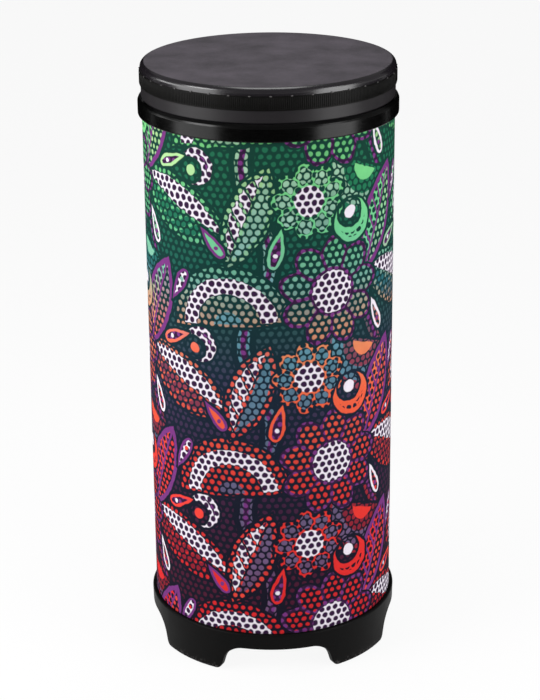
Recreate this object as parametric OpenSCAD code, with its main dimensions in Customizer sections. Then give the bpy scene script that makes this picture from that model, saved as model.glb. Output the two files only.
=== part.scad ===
// A floor-standing hand drum: a printed tube shell on an arched foot, with a
// pre-tensioned head that drops into a collar, and a port plate and tube inside the shell.
// The part stands on z = 0, its axis is z, and one arch of the foot faces -y.

/* [Shell] */
// Outside diameter of the shell over its printed wrap
shell_d = 220; // [180:1:340]
// Length of the shell tube
tube_len = 475; // [300:5:650]
// Wall of the shell tube
tube_wall = 6; // [4:0.5:9]
// Thickness of the printed wrap
wrap_t = 0.6; // [0.4:0.1:1.2]
// Gap where the two ends of the wrap meet at the back
wrap_joint = 0.6; // [0.3:0.1:2]

/* [Foot] */
// Number of feet under the ring
feet = 4; // [3:1:5]
// Height of the arches above the floor
arch_h = 25.5; // [18:0.5:40]
// Width of each arch at the floor
arch_w = 104.4; // [50:0.2:115]
// Lean of the arch sides from upright, in degrees
arch_lean = 17; // [0:1:30]
// Radius in the upper corners of the arches
arch_r = 20; // [2:1:24]
// Radius on the lower corners of the feet
toe_r = 6.5; // [0.5:0.5:8]
// Depth of the skirt wall, from the outside in
skirt_wall = 7; // [5:0.5:12]
// How far the skirt draws in from the lip to the floor
skirt_draft = 0.9; // [0.2:0.1:3]
// How far the skirt hangs below the web over each arch
arch_rib = 1.5; // [0.5:0.1:4]
// Thickness of the web that carries the shell
web_t = 3; // [2.5:0.5:8]
// Height of the lip above the web
lip_h = 11; // [6:0.5:25]
// How far the lip stands proud of the shell
lip_proud = 3.7; // [2.5:0.1:8]
// Radius on the outer edge of the lip
lip_round = 2.2; // [0.5:0.1:2.2]
// Width of the web inside the bore of the shell
ledge_w = 11.5; // [9:0.5:16]

/* [Pads] */
// Thickness of each foot pad
pad_t = 2.6; // [2:0.1:5]
// How far the pads stand out below the feet
pad_proud = 0.8; // [0.4:0.1:1.5]
// Width of the pads across the skirt wall
pad_w = 3.6; // [2:0.1:4.4]
// How far the pads stop short of the round corners of the feet
pad_inset = 3; // [1:0.5:5]

/* [Port] */
// Bore of the port tube
port_d = 90; // [40:1:110]
// Wall of the port tube
port_wall = 3; // [2:0.5:6]
// Length of the port tube
port_len = 150; // [60:5:220]
// Thickness of the port plate
plate_t = 9; // [6:0.5:15]
// Width of the flange round the port tube
flange_w = 9; // [5:0.5:10]
// Thickness of the flange round the port tube
flange_t = 5; // [3:0.5:10]

/* [Screws] */
// Number of screws through the web into the port plate
plate_screw_n = 8; // [4:1:16]
// Shank diameter of the screws
screw_d = 3.5; // [2.5:0.1:4]
// Head diameter of the screws
screw_head_d = 7; // [5:0.1:8]
// Head height of the screws
screw_head_h = 2.4; // [1.5:0.1:3]
// Depth of the screws in the port plate
screw_bite = 5; // [3:0.5:5.5]
// Width of the slots of the cross recess
recess_w = 0.9; // [0.5:0.1:1.4]
// Depth of the cross recess
recess_t = 1.2; // [0.5:0.1:1.4]

/* [Collar] */
// How far the collar stands proud of the shell
collar_proud = 3.6; // [2.4:0.1:6]
// How far the collar reaches down over the shell
collar_lap = 8.8; // [4:0.1:30]
// Thickness of the collar's ledge on the edge of the tube
collar_ledge_t = 2; // [1.5:0.1:5]
// Height of the rim above the ledge
rim_h = 4.2; // [3:0.1:20]
// Thickness of the rim
rim_t = 2.4; // [1.2:0.1:3]
// Height of the bevel round the top of the rim
rim_bevel_h = 3.4; // [0.5:0.1:4]
// How far the bevel draws the rim in
rim_bevel_t = 2; // [0.3:0.1:2.2]
// Radius on the outer edges of the collar
collar_round = 1.1; // [0.2:0.1:1.1]

/* [Head] */
// Running gap between the head and the rim of the collar
head_gap = 0.8; // [0.6:0.1:3]
// Gap between the gasket and its seat at rest
seat_gap = 0.2; // [0.1:0.05:0.5]
// Thickness of the gasket under the head
gasket_t = 1.2; // [0.8:0.1:3]
// Width of the gasket
gasket_w = 3.3; // [2:0.1:3.4]
// Height of the tension ring above the gasket
ring_h = 32.85; // [26:0.05:60]
// Wall of the tension ring
ring_wall = 6.6; // [5:0.1:9]
// Height of the relief round the foot of the tension ring
relief_h = 3.5; // [1:0.1:8]
// Depth of the relief
relief_t = 3; // [0.5:0.1:3.2]
// Fall of the bearing bevel inside the skin, in degrees
bevel = 35; // [15:1:50]
// Width of the flat crest that bears the skin
crest_w = 0.8; // [0.3:0.1:1.2]
// Length of the head's spigot inside the shell
head_spigot_len = 20; // [8:1:60]
// Wall of the head's spigot
head_spigot_wall = 3; // [2:0.5:5]
// Thickness of the flange that joins the spigot to the ring
head_web_t = 5; // [3:0.5:10]
// Clearance round the head's spigot
spigot_slip = 0.5; // [0.35:0.05:1.5]
// Thickness of the skin
skin_t = 0.4; // [0.2:0.05:0.6]
// Radius of the skin's shoulder
shoulder_r = 5; // [3:0.5:5.5]

/* [Hoop] */
// Distance from the top of the head down to the hoop
hoop_drop = 7.1; // [5.8:0.1:9]
// Height of the hoop
hoop_h = 12.2; // [8:0.1:16]
// Thickness of the hoop
hoop_t = 0.65; // [0.5:0.05:1.2]
// Height of the lip turned in under the skin
hoop_lip_t = 0.8; // [0.5:0.1:1.5]
// Number of crimp nubs round the top of the hoop
nub_n = 40; // [12:1:60]
// Diameter of each crimp nub
nub_d = 1.1; // [0.6:0.1:1.6]
// Height of the bead that locks the skin
bead_h = 2.5; // [1.5:0.1:4]
// Depth of the groove that holds the bead
bead_t = 1.6; // [1:0.1:3]
// Height of the bead above the lip of the hoop
bead_rise = 1.5; // [1:0.1:3]

/* [Fits] */
// Glue line between pieces that are bonded or pressed together
bond = 0.05; // [0.02:0.01:0.1]
// Clearance of the wrapped shell in the foot and the collar
shell_fit = 0.15; // [0.1:0.05:0.4]

/* [Hidden] */
$fn = 120;
cut = 1;
toe_steps = 5;
fillet_steps = 10;

// Radii of the shell
shell_r = shell_d / 2;
tube_r = shell_r - wrap_t - bond;
bore_r = tube_r - tube_wall;

// Radii of the foot, and the heights of its web and lip
lip_r = shell_r + lip_proud;
skirt_r = lip_r - skirt_draft;
skirt_in_r = skirt_r - skirt_wall;
channel_r = shell_r + shell_fit;
ledge_r = bore_r - ledge_w;
web_z = arch_h + arch_rib;
seat_z = web_z + web_t;
lip_z = seat_z + lip_h;
foot_pitch = 360 / feet;

// The arches: half their angle at the floor, and their fillets, limited by the sloping side
arch_half = asin(arch_w / 2 / skirt_r);
arch_reach = 0.6 * arch_w;
arch_corner = (90 + arch_lean) / 2;
arch_rise = arch_h - pad_proud;
arch_slope = arch_rise / cos(arch_lean);
arch_fillet = min(arch_r, 0.7 * arch_slope * tan(arch_corner));
arch_tangent = arch_fillet / tan(arch_corner);
toe_tangent = toe_r / tan(arch_corner);

// The pads, in the middle of the skirt wall
pad_mid_r = skirt_r - skirt_wall / 2;
pad_inset_angle = (pad_inset + toe_tangent) / skirt_r * 180 / PI;
pad_span = foot_pitch - 2 * arch_half - 2 * pad_inset_angle;
pad_slack_angle = 2 * bond / pad_mid_r * 180 / PI;

// The port plate in the end of the shell, and its tube and flange
plate_r = bore_r - bond;
plate_z = seat_z + bond;
plate_top_z = plate_z + plate_t;
port_r = port_d / 2 + port_wall;
flange_z = plate_top_z + bond;
plate_screw_r = ledge_r + ledge_w / 2;
plate_screw_len = web_t + bond + screw_bite;
hole_d = screw_d + 2 * bond;

// The collar and the seat of the head
tube_z = seat_z + bond;
tube_top_z = tube_z + tube_len;
wrap_top_z = tube_top_z - bond;
collar_r = shell_r + collar_proud;
rim_in_r = collar_r - rim_t;
collar_z = tube_top_z - collar_lap;
collar_ledge_z = tube_top_z + bond;
head_seat_z = collar_ledge_z + collar_ledge_t;
rim_z = head_seat_z + rim_h;

// The head, from its gasket up to the skin
ring_r = rim_in_r - head_gap;
ring_in_r = ring_r - ring_wall;
neck_r = ring_r - relief_t;
ring_z = head_seat_z + seat_gap + gasket_t;
ring_top_z = ring_z + ring_h;
head_spigot_r = bore_r - spigot_slip;
gasket_mid_r = (max(ring_in_r, bore_r) + neck_r) / 2;
skin_in_r = ring_r + bond;
skin_r = skin_in_r + skin_t;
skin_z = ring_top_z + bond;
head_top_z = skin_z + skin_t;
ring_shoulder = shoulder_r - skin_t - bond;
hoop_in_r = skin_r + bond;
hoop_r = hoop_in_r + hoop_t;
hoop_top_z = head_top_z - hoop_drop;
hoop_z = hoop_top_z - hoop_h;
hoop_lip_z = hoop_z + hoop_lip_t;
tail_z = hoop_lip_z + bond;
bead_z = hoop_lip_z + bead_rise;
bead_in_r = ring_r - bead_t;
crest_r = ring_r - ring_shoulder - crest_w;

// A ring of rectangular section
module band(r_in, r_out, z_low, z_high) {
    rotate_extrude()
        translate([r_in, z_low])
            square([r_out - r_in, z_high - z_low]);
}

// Half section of a solid disc with a rounded upper edge
module round_top(r, z_low, z_high, edge) {
    translate([0, z_low])
        square([r - edge, z_high - z_low]);
    translate([0, z_low])
        square([r, z_high - edge - z_low]);
    translate([r - edge, z_high - edge])
        circle(edge);
}

// A pan-head screw along +z, with the underside of its head at the origin
module screw(length) {
    difference() {
        union() {
            cylinder(d = screw_d, h = length);
            translate([0, 0, -screw_head_h])
                cylinder(d1 = screw_head_d - screw_head_h / 2, d2 = screw_head_d, h = screw_head_h);
        }
        for (turn = [0, 90])
            rotate(turn)
                translate([-screw_head_d / 4, -recess_w / 2, -screw_head_h - cut])
                    cube([screw_head_d / 2, recess_w, recess_t + cut]);
    }
}

// Places its children at each screw under the port plate
module at_plate_screws() {
    for (i = [0 : plate_screw_n - 1])
        rotate((i + 0.5) * 360 / plate_screw_n)
            translate([plate_screw_r, 0, web_z])
                children();
}

// Points along an arc, from one angle to another
function arc_points(centre, r, from, to, steps) =
    [for (i = [0 : steps]) let (a = from + (to - from) * i / steps) centre + r * [cos(a), sin(a)]];

// Outline of half the space under an arch, standing on the line of the floor. The foot beside
// it would have its lower corner at x = 0, but for the round toe.
module half_arch_outline() {
    toe_centre = [toe_tangent, pad_proud + toe_r];
    fillet_centre = [-arch_rise * tan(arch_lean) - arch_tangent, arch_h - arch_fillet];
    toe = arc_points(toe_centre, toe_r, 270, 180 + arch_lean, toe_steps);
    fillet = arc_points(fillet_centre, arch_fillet, arch_lean, 90, fillet_steps);
    polygon(concat([[-arch_reach, 0], [toe_tangent, 0]], toe, fillet, [[-arch_reach, arch_h]]));
}

// The space under an arch that faces -y, with the sides of its feet along radii
module arch_space() {
    for (side = [0, 1])
        mirror([side, 0, 0])
            rotate([90, 0, arch_half])
                linear_extrude(lip_r + cut)
                    half_arch_outline();
}

// An arc-shaped bar centred under each foot
module pad_bars(width, span, z_low, z_high) {
    for (i = [0 : feet - 1])
        rotate((i + 0.5) * foot_pitch - 90 - span / 2)
            rotate_extrude(angle = span)
                translate([pad_mid_r - width / 2, z_low])
                    square([width, z_high - z_low]);
}

// Half section of the foot's skirt, web and lip
module foot_section() {
    difference() {
        union() {
            polygon([[skirt_in_r, pad_proud], [skirt_r, pad_proud],
                     [lip_r, lip_z - lip_round], [skirt_in_r, lip_z - lip_round]]);
            translate([skirt_in_r, lip_z - lip_round - cut])
                square([lip_r - lip_round - skirt_in_r, lip_round + cut]);
            translate([lip_r - lip_round, lip_z - lip_round])
                circle(lip_round);
            translate([ledge_r, web_z])
                square([skirt_in_r + cut - ledge_r, web_t]);
        }
        translate([0, seat_z])
            square([channel_r, lip_h + cut]);
    }
}

module foot_ring() {
    color([0.09, 0.09, 0.09])
        difference() {
            rotate_extrude()
                foot_section();
            for (i = [0 : feet - 1])
                rotate(i * foot_pitch)
                    arch_space();
            pad_bars(pad_w + 2 * bond, pad_span + pad_slack_angle, 0, pad_t + bond);
            at_plate_screws()
                translate([0, 0, -cut])
                    cylinder(d = hole_d, h = web_t + 2 * cut);
        }
}

module foot_pads() {
    color([0.16, 0.16, 0.17])
        pad_bars(pad_w, pad_span, 0, pad_t);
}

module port_plate() {
    color([0.45, 0.36, 0.27])
        difference() {
            band(port_r + bond, plate_r, plate_z, plate_top_z);
            at_plate_screws()
                cylinder(d = hole_d, h = plate_screw_len + bond);
        }
}

module plate_screws() {
    color([0.2, 0.2, 0.21])
        at_plate_screws()
            screw(plate_screw_len);
}

module port_tube() {
    color([0.12, 0.12, 0.13])
        band(port_d / 2, port_r, plate_z, plate_z + port_len);
}

module port_flange() {
    color([0.12, 0.12, 0.13])
        band(port_r + bond, port_r + flange_w, flange_z, flange_z + flange_t);
}

module shell_tube() {
    color([0.5, 0.4, 0.3])
        band(bore_r, tube_r, tube_z, tube_top_z);
}

module shell_wrap() {
    color([0.13, 0.33, 0.34])
        difference() {
            band(tube_r + bond, shell_r, tube_z, wrap_top_z);
            translate([-wrap_joint / 2, 0, 0])
                cube([wrap_joint, shell_r + cut, tube_top_z + cut]);
        }
}

// Half section of the collar: a skirt over the shell, a ledge on its edge and a bevelled rim
module collar_section() {
    difference() {
        union() {
            round_top(collar_r, collar_z + collar_round, rim_z, collar_round);
            translate([0, collar_z])
                square([collar_r - collar_round, rim_z - collar_round - collar_z]);
            translate([collar_r - collar_round, collar_z + collar_round])
                circle(collar_round);
        }
        square([channel_r, collar_ledge_z]);
        square([bore_r, rim_z + cut]);
        translate([0, head_seat_z])
            square([rim_in_r, rim_h + cut]);
        polygon([[collar_r - rim_bevel_t, rim_z], [collar_r, rim_z - rim_bevel_h],
                 [collar_r + cut, rim_z + cut]]);
    }
}

module top_collar() {
    color([0.03, 0.03, 0.03])
        rotate_extrude()
            collar_section();
}

module seat_gasket() {
    color([0.08, 0.08, 0.08])
        band(gasket_mid_r - gasket_w / 2, gasket_mid_r + gasket_w / 2,
             head_seat_z + seat_gap, ring_z - bond);
}

// Half section of the tension ring: a walled ring with a bevelled crest, a relieved foot
// and a spigot below
module ring_section() {
    crest_fall = (crest_r - ring_in_r) * tan(bevel);
    difference() {
        round_top(ring_r, ring_z, ring_top_z, ring_shoulder);
        square([ring_in_r, ring_top_z + cut]);
        polygon([[ring_in_r - cut, ring_top_z + cut], [ring_in_r - cut, ring_top_z - crest_fall],
                 [ring_in_r, ring_top_z - crest_fall], [crest_r, ring_top_z], [crest_r, ring_top_z + cut]]);
        translate([bead_in_r, bead_z - bond])
            square([bead_t + cut, bead_h + 2 * bond]);
        translate([neck_r, ring_z - cut])
            square([relief_t + cut, relief_h + cut]);
    }
    translate([head_spigot_r - head_spigot_wall, ring_z])
        square([ring_in_r + cut - head_spigot_r + head_spigot_wall, head_web_t]);
    translate([head_spigot_r - head_spigot_wall, ring_z - head_spigot_len])
        square([head_spigot_wall, head_spigot_len + head_web_t]);
}

module tension_ring() {
    color([0.2, 0.19, 0.21])
        rotate_extrude()
            ring_section();
}

module lock_bead() {
    color([0.7, 0.68, 0.6])
        band(bead_in_r + bond, ring_r, bead_z, bead_z + bead_h);
}

module drum_skin() {
    color([0.35, 0.33, 0.36])
        rotate_extrude()
            difference() {
                round_top(skin_r, tail_z, head_top_z, shoulder_r);
                round_top(skin_in_r, tail_z - cut, skin_z, shoulder_r - skin_t);
            }
}

module crimp_hoop() {
    color([0.1, 0.1, 0.1])
        union() {
            band(hoop_in_r, hoop_r, hoop_z, hoop_top_z);
            band(ring_r + bond, hoop_in_r + hoop_t / 2, hoop_z, hoop_lip_z);
            for (i = [0 : nub_n - 1])
                rotate(i * 360 / nub_n)
                    translate([hoop_in_r, 0, hoop_top_z])
                        rotate([0, 90, 0])
                            cylinder(d = nub_d, h = hoop_t + nub_d / 4);
        }
}

foot_pads();
foot_ring();
port_plate();
plate_screws();
port_tube();
port_flange();
shell_tube();
shell_wrap();
top_collar();
seat_gasket();
tension_ring();
lock_bead();
drum_skin();
crimp_hoop();
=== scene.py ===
import math
import bmesh
import bpy
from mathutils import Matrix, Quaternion, Vector


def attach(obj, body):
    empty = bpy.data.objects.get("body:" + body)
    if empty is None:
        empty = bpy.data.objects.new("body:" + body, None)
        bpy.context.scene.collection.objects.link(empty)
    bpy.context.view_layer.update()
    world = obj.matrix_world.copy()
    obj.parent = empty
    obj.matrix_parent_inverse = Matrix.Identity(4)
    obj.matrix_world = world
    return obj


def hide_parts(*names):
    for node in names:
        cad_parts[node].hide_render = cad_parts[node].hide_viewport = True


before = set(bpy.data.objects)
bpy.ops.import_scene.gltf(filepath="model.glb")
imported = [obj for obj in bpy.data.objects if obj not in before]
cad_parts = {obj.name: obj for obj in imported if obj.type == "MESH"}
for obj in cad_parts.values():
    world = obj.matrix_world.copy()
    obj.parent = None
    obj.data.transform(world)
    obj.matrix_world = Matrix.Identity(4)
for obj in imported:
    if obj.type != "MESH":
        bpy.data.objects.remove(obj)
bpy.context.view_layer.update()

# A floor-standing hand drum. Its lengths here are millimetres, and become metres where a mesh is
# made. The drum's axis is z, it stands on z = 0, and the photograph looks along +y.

MM = 0.001

# Sizes repeated from the part's source: _R is a radius, _Z and _TOP are heights
GLUE = 0.05
SHELL_R = 110.0
TUBE_R, BORE_R = 109.35, 103.35
TUBE_Z, TUBE_TOP = 30.05, 505.05
WRAP_IN_R, WRAP_MID_R, WRAP_JOINT = 109.4, 109.7, 0.6
LIP_R, LIP_Z, LIP_ROUND = 113.7, 41.0, 2.2
SKIRT_R, SKIRT_IN_R, CHANNEL_R, LEDGE_R = 112.8, 105.8, 110.15, 91.85
WEB_Z, SEAT_Z, FOOT_Z = 27.0, 30.0, 0.8
ARCH_H, ARCH_W, ARCH_LEAN, ARCH_R, TOE_R = 25.5, 104.4, 17.0, 20.0, 6.5
PAD_R, PAD_W, PAD_HALF = 109.3, 3.6, 13.46
PLATE_R, PLATE_TOP, PORT_R, PORT_BORE_R, PORT_TOP = 103.3, 39.05, 48.0, 45.0, 180.05
FLANGE_R, FLANGE_Z, FLANGE_TOP = 57.0, 39.1, 44.1
COLLAR_R, COLLAR_Z, RIM_IN_R, RIM_Z = 113.6, 496.25, 111.2, 511.3
BEVEL_H, BEVEL_T = 3.4, 2.0
SEAT_LOW, SEAT_TOP = 505.1, 507.1
SEAL_R, SEAL_IN_R, SEAL_Z, SEAL_TOP = 107.25, 103.95, 507.3, 508.45
RING_R, RING_IN_R, RING_Z, RING_TOP = 110.4, 103.8, 508.5, 541.35
CREST_R, CREST_SLOPE = 105.05, 35.0
NECK_R, NECK_TOP = 107.4, 512.0
SPIGOT_R, SPIGOT_IN_R, SPIGOT_Z, SPIGOT_WEB = 102.85, 99.85, 488.5, 5.0
SKIN_R, SKIN_TOP, SKIN_T, SKIN_TAIL, SHOULDER = 110.85, 541.8, 0.4, 523.35, 5.0
HOOP_IN_R, HOOP_R, HOOP_Z, HOOP_TOP, HOOP_TURN = 110.9, 111.4, 522.5, 534.7, 0.8
SCREW_R, SCREWS = 97.6, 8
RIBS, NUBS = 400, 40


def srgb(red, green, blue):
    """A colour written in bytes, as the linear colour that nodes take."""
    linear = [((c / 255 + 0.055) / 1.055) ** 2.4 if c > 10 else c / 255 / 12.92
              for c in (red, green, blue)]
    return (*linear, 1.0)


# Meshes

# How far from an arc its support points stand
SUPPORT = 0.3


def soften(corners):
    """The closed outline through (r, z, radius) corners, each turned into an arc that support
    points hold, so that the faces beside it stay flat."""
    outline = []
    for i, (r, z, radius) in enumerate(corners):
        here = Vector((r, z))
        if radius == 0:
            outline.append(here)
            continue
        back = Vector(corners[i - 1][:2]) - here
        ahead = Vector(corners[(i + 1) % len(corners)][:2]) - here
        half = back.angle(ahead) / 2
        reach = radius / math.tan(half)
        hold = min(SUPPORT, radius / 2)
        start, end = here + back.normalized() * reach, here + ahead.normalized() * reach
        centre = here + (back.normalized() + ahead.normalized()).normalized() * radius / math.sin(half)
        turn_a = math.atan2(*reversed(start - centre))
        turn_b = math.atan2(*reversed(end - centre))
        sweep = (turn_b - turn_a + math.pi) % math.tau - math.pi
        steps = 4 if radius < 1 else 6 if radius < 3 else 12
        if back.length > reach + 3 * hold:
            outline.append(start + back.normalized() * hold)
        for k in range(steps + 1):
            a = turn_a + sweep * k / steps
            outline.append(centre + radius * Vector((math.cos(a), math.sin(a))))
        if ahead.length > reach + 3 * hold:
            outline.append(end + ahead.normalized() * hold)
    return outline


def turned(bm, outline, segments=192, span=None):
    """Adds the outline turned about z, all the way or over span, a pair of angles in degrees."""
    low, high = (math.radians(a) for a in (span or (0, 360)))
    columns = segments if span is None else segments + 1
    angles = [low + (high - low) * i / segments for i in range(columns)]
    rings = []
    for r, z in outline:
        if r < 1e-6:
            rings.append([bm.verts.new((0, 0, z * MM))] * columns)
        else:
            rings.append([bm.verts.new((r * math.cos(a) * MM, r * math.sin(a) * MM, z * MM))
                          for a in angles])
    for ring, above in zip(rings, rings[1:] + rings[:1]):
        for i in range(segments):
            k = (i + 1) % columns
            corners = list(dict.fromkeys((ring[i], ring[k], above[k], above[i])))
            if len(corners) > 2:
                bm.faces.new(corners)
    if span is not None:
        for side in (0, -1):
            bm.faces.new([ring[side] for ring in rings])


def mesh_from(bm, name, crease=38):
    """A smooth mesh whose edges stay sharp where its faces meet at more than the crease angle."""
    bmesh.ops.recalc_face_normals(bm, faces=bm.faces)
    for face in bm.faces:
        face.smooth = True
    for edge in bm.edges:
        edge.smooth = edge.is_boundary or edge.calc_face_angle(0.0) < math.radians(crease)
    mesh = bpy.data.meshes.new(name)
    bm.to_mesh(mesh)
    bm.free()
    return mesh


def piece(name, mesh, finish, body, slot, *nodes):
    """Puts a mesh in the scene as a piece that rides on a body and stands for CAD nodes."""
    obj = bpy.data.objects.new(name, mesh)
    bpy.context.scene.collection.objects.link(obj)
    if finish.name not in mesh.materials:
        mesh.materials.append(finish)
    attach(obj, body)
    if nodes:
        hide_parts(*nodes)
    return obj


def ring_piece(name, corners, finish, body, slot, *nodes, segments=192, span=None):
    """A piece turned from rounded corners."""
    bm = bmesh.new()
    turned(bm, soften(corners), segments, span)
    return piece(name, mesh_from(bm, name), finish, body, slot, *nodes)


def foot_mesh():
    """The foot: a section of skirt, web and lip, carried round past four arches whose outline
    lifts the lower edge of the skirt."""
    lean = math.radians(ARCH_LEAN)
    corner = (math.pi / 2 + lean) / 2
    half = math.asin(ARCH_W / 2 / SKIRT_R)
    rise = ARCH_H - FOOT_Z
    fillet_x = -rise * math.tan(lean) - ARCH_R / math.tan(corner)
    toe_x = TOE_R / math.tan(corner)
    wall_top = LIP_Z - LIP_ROUND
    # Rounding of the skirt's outer and inner edges, step to a support row, and a row over the arches
    outer, inner, ease, belt = 1.0, 0.5, 0.4, 31.5

    def half_outline(inset, r):
        """Angle and height of the lower edge, from the middle of an arch to the middle of a foot."""
        def at(x):
            return half + math.asin(x / r)

        points = [(at(fillet_x) * k / 6, ARCH_H + inset) for k in range(6)]
        for k in range(13):
            a = math.pi / 2 + (lean - math.pi / 2) * k / 12
            big = ARCH_R + inset
            points.append((at(fillet_x + big * math.cos(a)), ARCH_H - ARCH_R + big * math.sin(a)))
        for k in range(9):
            a = math.pi + lean + (math.pi / 2 - lean) * k / 8
            small = TOE_R - inset
            points.append((at(toe_x + small * math.cos(a)), FOOT_Z + TOE_R + small * math.sin(a)))
        toe_end = at(toe_x)
        points += [(toe_end + (math.pi / 4 - toe_end) * k / 4, FOOT_Z + inset) for k in range(1, 5)]
        return points

    def row(r, inset=0.0, z=None):
        """One row of points right round, on the lower edge or at a fixed height."""
        points = half_outline(inset, r)
        points = points + [(math.pi / 2 - a, h) for a, h in points[-2:0:-1]]
        ring = []
        for quarter in range(4):
            for a, h in points:
                h = h if z is None else z
                slope = (h - FOOT_Z) / (wall_top - FOOT_Z)
                radius = r if r != SKIRT_R else SKIRT_R + (LIP_R - SKIRT_R) * slope
                turn = a + (quarter - 1) * math.pi / 2
                point = Vector((radius * math.cos(turn), radius * math.sin(turn), h))
                ring.append(bm.verts.new(point * MM))
        return ring

    bm = bmesh.new()
    rows = []
    for k in range(9):
        a = math.pi / 2 * k / 8
        rows.append(row(LIP_R - LIP_ROUND * (1 - math.sin(a)), z=LIP_Z - LIP_ROUND * (1 - math.cos(a))))
    rows += [row(SKIRT_R, z=wall_top - ease), row(SKIRT_R, z=belt)]
    rows += [row(SKIRT_R, outer + ease), row(SKIRT_R, outer)]
    for k in range(1, 5):
        a = math.pi / 2 * k / 4
        rows.append(row(SKIRT_R - outer * (1 - math.cos(a)) + 1e-4, outer * (1 - math.sin(a))))
    rows += [row(SKIRT_R - outer - ease), row(SKIRT_IN_R + inner + 0.3), row(SKIRT_IN_R + inner)]
    for k in range(1, 4):
        a = math.pi / 2 * k / 3
        rows.append(row(SKIRT_IN_R + inner * (1 - math.sin(a)), inner * (1 - math.cos(a))))
    rows += [row(SKIRT_IN_R, z=WEB_Z), row(LEDGE_R + inner, z=WEB_Z), row(LEDGE_R, z=WEB_Z + inner)]
    rows += [row(LEDGE_R, z=SEAT_Z - inner), row(LEDGE_R + inner, z=SEAT_Z), row(CHANNEL_R, z=SEAT_Z)]
    rows += [row(CHANNEL_R, z=LIP_Z - 0.7), row(CHANNEL_R, z=LIP_Z - ease)]
    rows += [row(CHANNEL_R + 0.12, z=LIP_Z - 0.12), row(CHANNEL_R + ease, z=LIP_Z)]
    for ring, next_ring in zip(rows, rows[1:] + rows[:1]):
        for i in range(len(ring)):
            k = (i + 1) % len(ring)
            bm.faces.new((ring[i], ring[k], next_ring[k], next_ring[i]))
    return mesh_from(bm, "foot_shoe")


def rib_mesh():
    """One upright rib of the hoop, standing out along +x from its foot in the band."""
    bm = bmesh.new()
    near_side = [(-0.1, 0.52), (0.06, 0.5), (0.24, 0.3)]
    section = near_side + [(0.32, 0.0)] + [(x, -y) for x, y in reversed(near_side)]
    rings = []
    # Height on the band, and the share of the full depth that the rib has there
    for z, out in ((0.9, 0.1), (1.3, 1.0), (10.9, 1.0), (11.4, 0.1)):
        points = [Vector((x * out if x > 0 else x, y, z)) for x, y in section]
        rings.append([bm.verts.new(point * MM) for point in points])
    for ring, above in zip(rings, rings[1:]):
        for i in range(len(ring)):
            k = (i + 1) % len(ring)
            bm.faces.new((ring[i], ring[k], above[k], above[i]))
    bm.faces.new(rings[0])
    bm.faces.new(rings[-1])
    return mesh_from(bm, "hoop_rib", 60)


def nub_mesh():
    """One crimp nub, a low oblong dome that stands out along +x."""
    bm = bmesh.new()
    low, long = 0.9, 1.9
    bmesh.ops.create_uvsphere(bm, u_segments=10, v_segments=7, radius=0.55 * MM)
    for vert in bm.verts:
        vert.co.x *= low
        vert.co.y *= long
    return mesh_from(bm, "hoop_nub", 80)


def screw_mesh():
    """One pan-head screw head that hangs below the web, with a cross recess."""
    bm = bmesh.new()
    radius, crown, tall = 3.5, 2.7, 2.4
    # Half length, half width and half depth of the slots of the cross
    half, slot, deep = 1.9, 0.45, 1.1
    rim = [(0, 0, 0), (radius, 0, 0), (radius, -1.0, 0.25), (crown, -tall, 0.9), (0, -tall, 0)]
    turned(bm, soften(rim), 24)
    head = bpy.data.objects.new("screw_blank", mesh_from(bm, "screw_blank"))
    cross = bmesh.new()
    for x, y in ((half, slot), (slot, half)):
        made = bmesh.ops.create_cube(cross, size=2)
        for vert in made["verts"]:
            taper = 0.7 if vert.co.z > 0 else 1.0
            corner = Vector((vert.co.x * x * taper, vert.co.y * y * taper, vert.co.z * deep - tall - 0.1))
            vert.co = corner * MM
    tool = bpy.data.objects.new("screw_tool", mesh_from(cross, "screw_tool"))
    for obj in (head, tool):
        bpy.context.scene.collection.objects.link(obj)
    change = head.modifiers.new("recess", "BOOLEAN")
    change.operation, change.solver = "DIFFERENCE", "EXACT"
    change.object, change.use_self = tool, True
    mesh = baked(head, "screw_head")
    for obj in (head, tool):
        bpy.data.objects.remove(obj)
    return mesh


def baked(obj, name):
    """The mesh that an object's modifiers make."""
    graph = bpy.context.evaluated_depsgraph_get()
    mesh = bpy.data.meshes.new_from_object(obj.evaluated_get(graph), depsgraph=graph)
    mesh.name = name
    return mesh


# Repeats round the axis, with geometry nodes

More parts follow.
